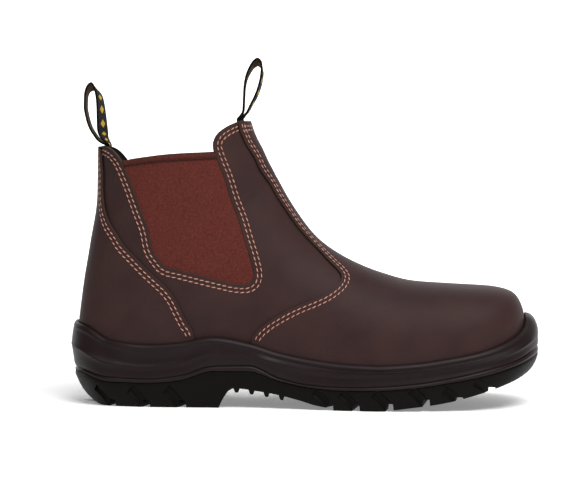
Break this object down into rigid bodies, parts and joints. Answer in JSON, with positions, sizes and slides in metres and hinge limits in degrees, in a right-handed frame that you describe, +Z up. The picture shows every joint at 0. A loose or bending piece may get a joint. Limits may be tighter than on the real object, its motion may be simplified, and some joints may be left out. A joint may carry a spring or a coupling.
{
  "type": "side gore work boot",
  "caption": "Ankle-high pull-on leather work boot for the right foot, with elastic side gores, webbing pull loops, a moulded cup midsole and a lugged outsole.",
  "frame": {"origin": "middle of the boot's box in plan, on the floor plane under heel and forefoot treads", "axes": "+X from heel to toe, -Y the outer side of the right foot, +Z up"},
  "size_m": [0.311, 0.1122, 0.2283],
  "materials": {
    "tread": "near-black moulded rubber, satin",
    "cup": "dark brown moulded polyurethane, satin",
    "footbed": "dark knitted cover on foam",
    "leather": "dark brown oiled nubuck-like leather, matte",
    "elastic": "red-brown ribbed elastic twill",
    "webbing": "black woven webbing with plain yellow marks"
  },
  "bodies": {
    "root": {"outsole": "tread", "midsole": "cup", "insole": "footbed", "upper": "leather", "vamp": "leather", "counter": "leather", "gore_outer": "elastic", "gore_inner": "elastic", "pull_loop_front": "webbing", "pull_loop_back": "webbing"}
  },
  "joints": []
}
